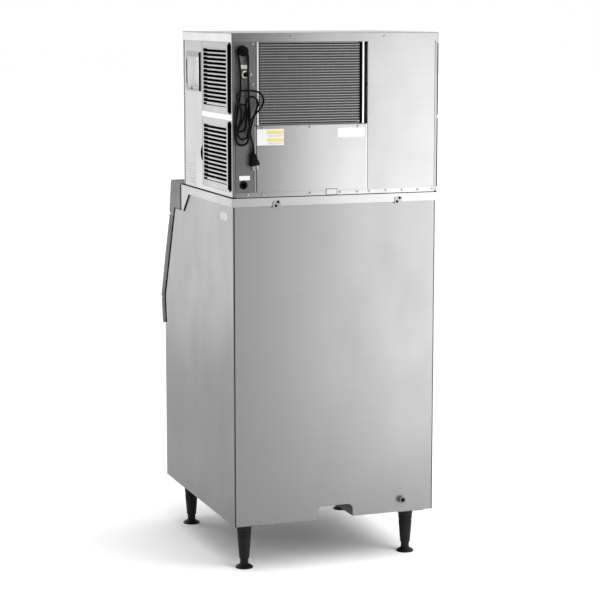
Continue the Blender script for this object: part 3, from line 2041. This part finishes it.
leg_profile = [(0, leg_high), (leg_top_radius, leg_high)]
for share in groove_shares:
    level = leg_high * share
    for shift, sunk in ((1, 0), (0.5, 1), (-0.5, 1), (-1, 0)):
        z = level + shift * leg_groove_width
        leg_profile.append((taper(z) - sunk * leg_groove, z))
leg_profile += [
    (leg_low_radius, leg_low_height),
    (bore_radius, leg_low_height),
    (bore_radius, foot_stem_height + clearance),
    (0, foot_stem_height + clearance),
]
foot_profile = [
    (0, foot_stem_height),
    (foot_neck_radius, foot_stem_height),
    (foot_neck_radius, foot_cone_height),
    (foot_flange_radius * 0.96, foot_flange),
    (foot_flange_radius, foot_flange * 0.6),
    (foot_flange_radius, 0),
    (0, 0),
]
for index, (x, y) in enumerate(leg_places):
    pad = box(
        f"leg_plate_{index + 1}",
        (x - pad_size / 2, y - pad_size / 2, pad_low),
        (x + pad_size / 2, y + pad_size / 2, leg_clearance + bend_radius),
        galvanised,
    )
    join(bin_base, pad)
    turned(f"leg_{index + 1}", leg_profile, (x, y, 0), (0, 0, 1), black_plastic, 16)
    turned(
        f"levelling_foot_{index + 1}", foot_profile, (x, y, 0), (0, 0, 1), black_plastic, 16
    )

# Screws and the straps that hold the head to the bin

screw_bite = 0.0004
screw_profile = [
    (0, screw_head),
    (screw_radius * 0.6, screw_head),
    (screw_radius, screw_head * 0.4),
    (screw_radius, -screw_bite),
    (0, -screw_bite),
]
base_screw_shares = (0.857, 0.71, 0.257, -0.036, -0.205, -0.322, -0.487, -0.647, -0.804, -0.95)
sill_screw_shares = (0.71, 0.259, -0.209)
cover_screw_shares = (0.441, -0.462)
base_screw_z = rim_top + base_flange * 0.6
sill_screw_z = sill_z - sill_screw_drop
cover_screw_z = head_top - cover_screw_drop
service_screws = (
    (service_x + service_screw_inset, inlet_place[2] + service_screw_rise),
    (service_x + service_screw_edge, inlet_place[2] - service_screw_drop),
    (service_x + gland_screw_inset, gland_place[2] + gland_screw_rise),
    (gland_place[0] - gland_screw_side, gland_place[2] + gland_screw_lift),
)
screwed = (
    (head_base_pan, rear_y, [(half * share, base_screw_z) for share in base_screw_shares]),
    (rear_lower_panel, rear_y, [(half * share, sill_screw_z) for share in sill_screw_shares]),
    (
        head_top_cover,
        rear_y + cover_lap,
        [(half * share, cover_screw_z) for share in cover_screw_shares],
    ),
    (rear_service_panel, rear_y, service_screws),
)
for carrier, face, places in screwed:
    for index, (x, z) in enumerate(places):
        screw = turned(
            f"{carrier.name}_screw_{index}", screw_profile, (x, face, z), (0, 1, 0), stainless, 8
        )
        join(carrier, screw)

panel_face = rear_y + clearance
clip_centres = (half * 0.58, -half * 0.61)
clip_top = rim_top - clip_drop
for index, x in enumerate(clip_centres):
    clip = plate(
        f"retaining_clip_{index + 1}",
        rounded(
            [
                (x - clip_width / 2, clip_top - clip_height),
                (x + clip_width / 2, clip_top - clip_height),
                (x + clip_width / 2, clip_top),
                (x - clip_width / 2, clip_top),
            ],
            bend_radius,
        ),
        "y",
        panel_face,
        panel_face + clip_thickness,
        stainless,
    )
    slot_y = (rear_y - cut_overrun, rear_y + 2 * cut_overrun)
    slot_centre = Vector((x + clip_slot_shift[0], clip_top + clip_slot_shift[1]))
    along = Vector(clip_slot_half)
    across = Vector((-along.y, along.x)) * clip_slot_share
    slot = [
        tuple(slot_centre - along - across),
        tuple(slot_centre + along - across),
        tuple(slot_centre + along + across),
        tuple(slot_centre - along + across),
    ]
    cut_outline(clip, f"clip_slot_{index}", slot, "y", *slot_y)
    hole_centre = (x + clip_hole_shift, clip_top - clip_height * 0.68)
    cut_outline(clip, f"clip_hole_{index}", circle(hole_centre, clip_hole_radius, 10), "y", *slot_y)

# Supply cord, hung in a hank from its gland. Its points are (x, distance behind the head, z)

exit_route = [
    (0.3433, 0.0348, 1.8250),
    (0.3433, 0.0400, 1.8250),
    (0.3431, 0.0510, 1.8220),
    (0.3428, 0.0591, 1.8140),
    (0.3424, 0.0620, 1.8030),
    (0.3418, 0.0607, 1.7925),
    (0.3406, 0.0560, 1.7770),
    (0.3385, 0.0485, 1.7560),
    (0.3360, 0.0415, 1.7350),
    (0.3343, 0.0368, 1.7170),
    (0.3338, 0.0353, 1.7080),
    (0.3337, 0.0352, 1.6990),
]
loop_radius = gland_neck_radius + cord_diameter / 2 + loop_gap
loop_left = [
    (0.3514, 0.0104, 1.6990),
    (0.3515, 0.0103, 1.7090),
    (0.3518, 0.0098, 1.7200),
    (0.3522, 0.0090, 1.7500),
    (0.3540, 0.0082, 1.7800),
    (0.3585, 0.0078, 1.8060),
]
loop_right = [
    (0.3268, 0.0082, 1.8000),
    (0.3262, 0.0108, 1.7760),
    (0.3264, 0.0128, 1.7560),
    (0.3262, 0.0130, 1.7350),
    (0.3246, 0.0118, 1.7150),
    (0.3244, 0.0115, 1.7080),
    (0.3244, 0.0115, 1.6990),
]
loop_top = [
    (
        gland_place[0] + loop_radius * math.cos(math.radians(angle)),
        loop_rear_gap,
        gland_place[2] + loop_radius * math.sin(math.radians(angle)),
    )
    for angle in (-10, 20, 50, 80, 110, 140, 170, 195)
]
cord_step = 0.0085


def behind(points):
    return [(x, rear_y + back, z) for x, back, z in points]


def cord_tube(name, route):
    return tube(name, smooth_route(behind(route), cord_step), cord_diameter / 2, black_rubber, 2)


cord_tube("cord_drop", exit_route)
cord_tube("cord_loop", loop_left + loop_top + loop_right)

hank_outline = rounded(
    [
        (hank_waist[0], hank_low),
        (hank_right, hank_low),
        (hank_right, hank_high),
        (hank_left, hank_high),
        (hank_left, hank_waist[1]),
    ],
    hank_radius,
    5,
)
plate("cord_hank", hank_outline, "y", rear_y + hank_back, rear_y + hank_front, black_rubber)

plug_y = rear_y + plug_rear_gap
plug_tilt = math.radians(9)
plug_half_depth = 0.0090
plug_half_width = 0.0170
plug_shoulder = 0.0100
plug_height = 0.0385
prong_shift = 0.0065
prong_half_width = 0.0008
prong_half_depth = 0.0035
prong_length = 0.0165


def on_plug(points):
    """(x, z) places of (across, down) ones on the tilted plug."""
    made = []
    for across, below in points:
        x = plug_place[0] + across * math.cos(plug_tilt) - below * math.sin(plug_tilt)
        z = plug_place[1] - across * math.sin(plug_tilt) - below * math.cos(plug_tilt)
        made.append((x, z))
    return made


plug_outline = on_plug(
    [
        (-plug_shoulder, 0),
        (plug_shoulder, 0),
        (plug_half_width, plug_height * 0.7),
        (plug_half_width, plug_height),
        (-plug_half_width, plug_height),
        (-plug_half_width, plug_height * 0.7),
    ]
)
power_plug = plate(
    "power_plug", plug_outline, "y", plug_y - plug_half_depth, plug_y + plug_half_depth, black_plastic
)
relief_height = hank_low - clearance - plug_place[1]
relief = turned(
    "plug_relief",
    [
        (0, relief_height),
        (cord_diameter * 0.6, relief_height),
        (cord_diameter * 1.1, 0),
        (cord_diameter * 1.1, -bend_radius),
        (0, -bend_radius),
    ],
    (plug_place[0], plug_y, plug_place[1]),
    (0, 0, 1),
    black_plastic,
    16,
)
join(power_plug, relief)
for index, shift in enumerate((-prong_shift, prong_shift)):
    prong_outline = on_plug(
        [
            (shift - prong_half_width, plug_height - bend_radius),
            (shift + prong_half_width, plug_height - bend_radius),
            (shift + prong_half_width, plug_height + prong_length),
            (shift - prong_half_width, plug_height + prong_length),
        ]
    )
    prong = plate(
        f"prong_{index}",
        prong_outline,
        "y",
        plug_y - prong_half_depth,
        plug_y + prong_half_depth,
        brass,
    )
    join(power_plug, prong)

machine = bpy.data.objects.new("ice_machine_origin", None)
parts.objects.link(machine)
for part in list(parts.objects):
    if part is not machine:
        part.parent = machine
